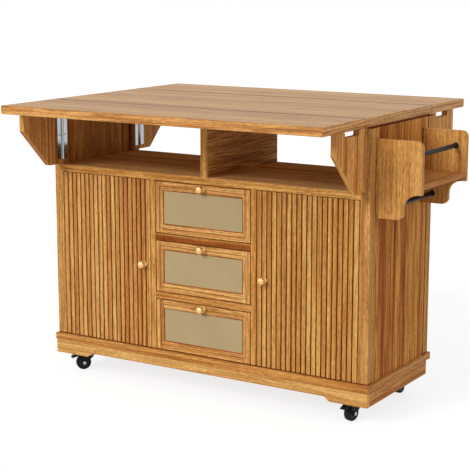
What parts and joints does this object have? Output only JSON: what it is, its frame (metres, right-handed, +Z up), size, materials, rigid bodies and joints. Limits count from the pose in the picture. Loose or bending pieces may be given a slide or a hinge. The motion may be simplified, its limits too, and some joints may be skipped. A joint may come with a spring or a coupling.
{
  "type": "kitchen cart",
  "caption": "Kitchen island cart on casters with drop leaves, an open shelf, fluted cupboard doors, cane-front drawers and a side rack with a towel bar.",
  "frame": {"origin": "on the floor under the middle of the cabinet", "axes": "+Z up, -Y is the front with the doors and drawers, +X is the side with the rack"},
  "size_m": [1.3185, 0.98, 0.93],
  "materials": {
    "oak_veneer": "satin golden oak veneer",
    "oak_top": "satin oak plank look",
    "bare_wood": "unfinished board",
    "cane": "woven cane webbing",
    "gold_brass": "satin gold",
    "bright_steel": "bright plated",
    "black_steel": "black powder coat",
    "black_plastic": "black moulded",
    "black_rubber": "black"
  },
  "bodies": {
    "cabinet": {"base_plate": "oak_veneer", "plinth_front": "oak_veneer", "plinth_back": "oak_veneer", "plinth_ends": "oak_veneer", "corner_blocks": "bare_wood", "corner_posts": "oak_veneer", "side_panels": "oak_veneer", "compartment_shelf": "oak_veneer", "compartment_divider": "oak_veneer", "inner_dividers": "oak_veneer", "drawer_rails": "oak_veneer", "back_panel": "oak_veneer", "cupboard_shelves": "oak_veneer", "fixed_top": "oak_top", "rack_ends": "oak_veneer", "rack_shelf": "oak_veneer", "rack_rail": "black_steel", "towel_bar": "black_steel", "hinge_plates": "bright_steel", "hinge_pins": "bright_steel", "drawer_runners": "bare_wood", "caster_plates": "black_steel"},
    "front_leaf": {"front_leaf": "oak_top", "front_leaf_hinge_plates": "bright_steel"},
    "front_left_bracket": {"front_left_bracket": "oak_veneer", "front_left_bracket_hinge": "bright_steel"},
    "front_right_bracket": {"front_right_bracket": "oak_veneer", "front_right_bracket_hinge": "bright_steel"},
    "back_leaf": {"back_leaf": "oak_top", "back_leaf_hinge_plates": "bright_steel"},
    "back_left_bracket": {"back_left_bracket": "oak_veneer", "back_left_bracket_hinge": "bright_steel"},
    "back_right_bracket": {"back_right_bracket": "oak_veneer", "back_right_bracket_hinge": "bright_steel"},
    "left_door": {"left_door": "oak_veneer", "left_door_knob": "gold_brass"},
    "right_door": {"right_door": "oak_veneer", "right_door_knob": "gold_brass"},
    "top_drawer": {"top_drawer_front": "oak_veneer", "top_drawer_cane": "cane", "top_drawer_box": "bare_wood", "top_drawer_knob": "gold_brass"},
    "middle_drawer": {"middle_drawer_front": "oak_veneer", "middle_drawer_cane": "cane", "middle_drawer_box": "bare_wood", "middle_drawer_knob": "gold_brass"},
    "bottom_drawer": {"bottom_drawer_front": "oak_veneer", "bottom_drawer_cane": "cane", "bottom_drawer_box": "bare_wood", "bottom_drawer_knob": "gold_brass"},
    "front_left_caster": {"front_left_caster_fork": "black_steel"},
    "front_left_wheel": {"front_left_wheel": "black_rubber"},
    "front_left_brake_pedal": {"front_left_brake_pedal": "black_plastic"},
    "front_right_caster": {"front_right_caster_fork": "black_steel"},
    "front_right_wheel": {"front_right_wheel": "black_rubber"},
    "front_right_brake_pedal": {"front_right_brake_pedal": "black_plastic"},
    "back_left_caster": {"back_left_caster_fork": "black_steel"},
    "back_left_wheel": {"back_left_wheel": "black_rubber"},
    "back_right_caster": {"back_right_caster_fork": "black_steel"},
    "back_right_wheel": {"back_right_wheel": "black_rubber"}
  },
  "joints": [
    {"name": "front_leaf_lift", "type": "hinge", "parent": "cabinet", "child": "front_leaf", "pos_m": [0, -0.231, 0.899], "axis": [-1, 0, 0], "range_deg": [0, 2]},
    {"name": "front_left_bracket_swing", "type": "hinge", "parent": "cabinet", "child": "front_left_bracket", "pos_m": [-0.546, -0.21675, 0.812], "axis": [0, 0, 1], "range_deg": [0, 180]},
    {"name": "front_right_bracket_swing", "type": "hinge", "parent": "cabinet", "child": "front_right_bracket", "pos_m": [0.546, -0.21675, 0.812], "axis": [0, 0, -1], "range_deg": [0, 180]},
    {"name": "back_leaf_lift", "type": "hinge", "parent": "cabinet", "child": "back_leaf", "pos_m": [0, 0.231, 0.899], "axis": [1, 0, 0], "range_deg": [0, 2]},
    {"name": "back_left_bracket_swing", "type": "hinge", "parent": "cabinet", "child": "back_left_bracket", "pos_m": [-0.546, 0.21675, 0.812], "axis": [0, 0, -1], "range_deg": [0, 180]},
    {"name": "back_right_bracket_swing", "type": "hinge", "parent": "cabinet", "child": "back_right_bracket", "pos_m": [0.546, 0.21675, 0.812], "axis": [0, 0, 1], "range_deg": [0, 180]},
    {"name": "left_door_swing", "type": "hinge", "parent": "cabinet", "child": "left_door", "pos_m": [-0.519, -0.2035, 0.413], "axis": [0, 0, -1], "range_deg": [0, 100]},
    {"name": "right_door_swing", "type": "hinge", "parent": "cabinet", "child": "right_door", "pos_m": [0.519, -0.2035, 0.413], "axis": [0, 0, 1], "range_deg": [0, 100]},
    {"name": "top_drawer_slide", "type": "slide", "parent": "cabinet", "child": "top_drawer", "axis": [0, -1, 0], "range_m": [0, 0.28]},
    {"name": "middle_drawer_slide", "type": "slide", "parent": "cabinet", "child": "middle_drawer", "axis": [0, -1, 0], "range_m": [0, 0.28]},
    {"name": "bottom_drawer_slide", "type": "slide", "parent": "cabinet", "child": "bottom_drawer", "axis": [0, -1, 0], "range_m": [0, 0.28]},
    {"name": "front_left_caster_swivel", "type": "hinge", "parent": "cabinet", "child": "front_left_caster", "pos_m": [-0.511, -0.146, 0.06], "axis": [0, 0, 1], "continuous": true},
    {"name": "front_left_wheel_roll", "type": "hinge", "parent": "front_left_caster", "child": "front_left_wheel", "pos_m": [-0.52386, -0.16132, 0.025], "axis": [0.766, -0.6428, 0], "continuous": true},
    {"name": "front_left_brake_pedal_press", "type": "hinge", "parent": "front_left_caster", "child": "front_left_brake_pedal", "pos_m": [-0.53221, -0.17128, 0.052], "axis": [0.766, -0.6428, 0], "range_deg": [0, 10]},
    {"name": "front_right_caster_swivel", "type": "hinge", "parent": "cabinet", "child": "front_right_caster", "pos_m": [0.511, -0.146, 0.06], "axis": [0, 0, 1], "continuous": true},
    {"name": "front_right_wheel_roll", "type": "hinge", "parent": "front_right_caster", "child": "front_right_wheel", "pos_m": [0.50684, -0.16556, 0.025], "axis": [0.9781, -0.2079, 0], "continuous": true},
    {"name": "front_right_brake_pedal_press", "type": "hinge", "parent": "front_right_caster", "child": "front_right_brake_pedal", "pos_m": [0.50414, -0.17828, 0.052], "axis": [0.9781, -0.2079, 0], "range_deg": [0, 10]},
    {"name": "back_left_caster_swivel", "type": "hinge", "parent": "cabinet", "child": "back_left_caster", "pos_m": [-0.511, 0.146, 0.06], "axis": [0, 0, 1], "continuous": true},
    {"name": "back_left_wheel_roll", "type": "hinge", "parent": "back_left_caster", "child": "back_left_wheel", "pos_m": [-0.511, 0.166, 0.025], "axis": [-1, 0, 0], "continuous": true},
    {"name": "back_right_caster_swivel", "type": "hinge", "parent": "cabinet", "child": "back_right_caster", "pos_m": [0.511, 0.146, 0.06], "axis": [0, 0, 1], "continuous": true},
    {"name": "back_right_wheel_roll", "type": "hinge", "parent": "back_right_caster", "child": "back_right_wheel", "pos_m": [0.511, 0.166, 0.025], "axis": [-1, 0, 0], "continuous": true}
  ]
}
